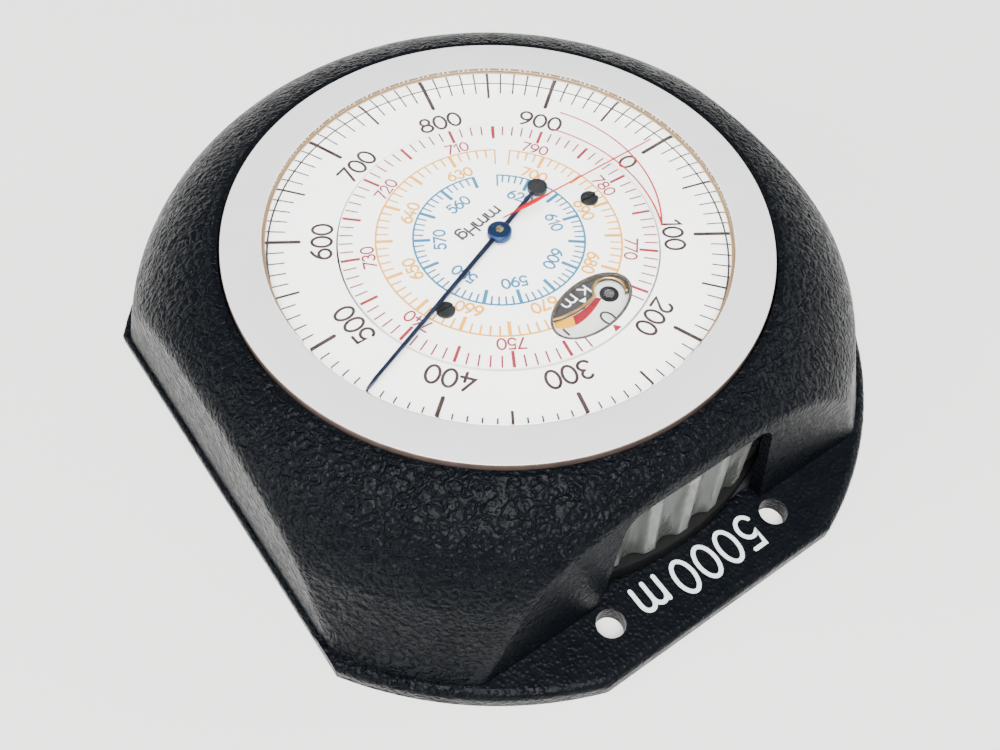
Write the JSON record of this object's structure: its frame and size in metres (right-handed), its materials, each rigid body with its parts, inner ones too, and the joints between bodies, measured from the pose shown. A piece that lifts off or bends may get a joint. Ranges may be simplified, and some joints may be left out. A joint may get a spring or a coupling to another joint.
{
  "type": "pocket altimeter",
  "caption": "Aneroid pocket altimeter with a turning altitude ring under the bezel, a fixed pressure dial, a needle, a kilometre window and a lug with lanyard holes.",
  "frame": {"origin": "on the dial axis, in the plane of the flat base the instrument rests on", "axes": "+Z out of the dial along its axis, +Y towards the lanyard lug, +X to the right when the lug points up"},
  "size_m": [0.07, 0.082, 0.0205],
  "materials": {
    "housing_plastic": "moulded leather grain",
    "cover_plastic": "fine matt",
    "ring_plastic": "moulded, slightly glossy",
    "slide_plastic": "smooth",
    "bezel_metal": "satin anodised",
    "polished_metal": "polished",
    "gasket": "matt",
    "crystal": "clear",
    "altitude_dial": "matt printed",
    "pressure_dial": "matt printed",
    "mask_paint": "matt",
    "kilometre_paint": "matt printed",
    "screw_steel": "blackened",
    "frame_brass": "brushed",
    "gear_brass": "polished",
    "arbor_steel": "polished",
    "jewel": "polished",
    "capsule_metal": "satin",
    "needle_blue": "blued",
    "counterweight": "blackened",
    "spring_steel": "blued",
    "felt": "felt"
  },
  "bodies": {
    "case": {"housing": "housing_plastic", "rear_cover": "cover_plastic", "cover_screws": "screw_steel", "movement_screws": "screw_steel", "glide_ring": "slide_plastic", "friction_washer": "felt", "pressure_dial": "pressure_dial", "kilometre_mask": "mask_paint", "dial_posts": "frame_brass", "dial_screws": "screw_steel", "base_plate": "frame_brass", "lower_pillars": "frame_brass", "upper_pillars": "frame_brass", "train_plate": "frame_brass", "upper_bridge": "frame_brass", "bridge_screws": "screw_steel", "jewel_bearings": "jewel", "kilometre_stud": "arbor_steel", "hairspring": "spring_steel", "hairspring_stud": "gear_brass", "rocker_brackets": "frame_brass", "lower_capsule": "capsule_metal", "upper_capsule": "capsule_metal", "capsule_posts": "gear_brass"},
    "setting": {"setting_ring": "ring_plastic", "altitude_dial": "altitude_dial", "bezel": "bezel_metal", "tension_ring": "polished_metal", "crystal_gasket": "gasket", "crystal": "crystal"},
    "pointer": {"pointer": "needle_blue", "pointer_counterweight": "counterweight", "pointer_hub": "needle_blue", "centre_arbor": "gear_brass", "centre_pinion": "gear_brass", "hairspring_collet": "gear_brass", "kilometre_pinion": "gear_brass"},
    "intermediate": {"intermediate_arbor": "arbor_steel", "intermediate_wheel": "gear_brass", "intermediate_pinion": "arbor_steel"},
    "kilometre": {"kilometre_pipe": "gear_brass", "kilometre_wheel": "gear_brass", "kilometre_disc": "kilometre_paint"},
    "sector": {"sector_gear": "gear_brass", "sector_arbor": "arbor_steel", "sector_crank": "gear_brass"},
    "rocker": {"rocking_shaft": "arbor_steel", "capsule_lever": "gear_brass", "drive_lever": "gear_brass"},
    "link": {"capsule_link": "arbor_steel"}
  },
  "joints": [
    {"name": "setting_turn", "type": "hinge", "parent": "case", "child": "setting", "pos_m": [0, 0, 0.018], "axis": [0, 0, 1], "continuous": true},
    {"name": "pointer_turn", "type": "hinge", "parent": "case", "child": "pointer", "pos_m": [0, 0, 0.018], "axis": [0, 0, 1], "range_deg": [-1638, 162]},
    {"name": "intermediate_turn", "type": "hinge", "parent": "case", "child": "intermediate", "pos_m": [-0.00846, -0.00308, 0.012], "axis": [0, 0, 1], "range_deg": [-32.41, 327.61]},
    {"name": "kilometre_turn", "type": "hinge", "parent": "case", "child": "kilometre", "pos_m": [-0.0054, 0.0115, 0.017], "axis": [0, 0, 1], "range_deg": [-27.01, 273.01]},
    {"name": "sector_turn", "type": "hinge", "parent": "case", "child": "sector", "pos_m": [-0.00189, 0.01496, 0.0095], "axis": [0, 0, 1], "range_deg": [-21.85, 2.17]},
    {"name": "rocker_turn", "type": "hinge", "parent": "case", "child": "rocker", "pos_m": [0.0022, 0, 0.0086], "axis": [0, 1, 0], "range_deg": [-9.84, 0.98]},
    {"name": "link_slide", "type": "slide", "parent": "case", "child": "link", "axis": [0, 0, 1], "range_m": [-0.00014, 0.00137]}
  ],
  "couplings": [
    {"joint": "intermediate_turn", "follows": "pointer_turn", "ratio": -0.2},
    {"joint": "kilometre_turn", "follows": "pointer_turn", "ratio": -0.16667},
    {"joint": "sector_turn", "follows": "pointer_turn", "ratio": 0.013333},
    {"joint": "rocker_turn", "follows": "pointer_turn", "ratio": 0.006},
    {"joint": "link_slide", "follows": "pointer_turn", "m_per_rad": -0.000048}
  ]
}
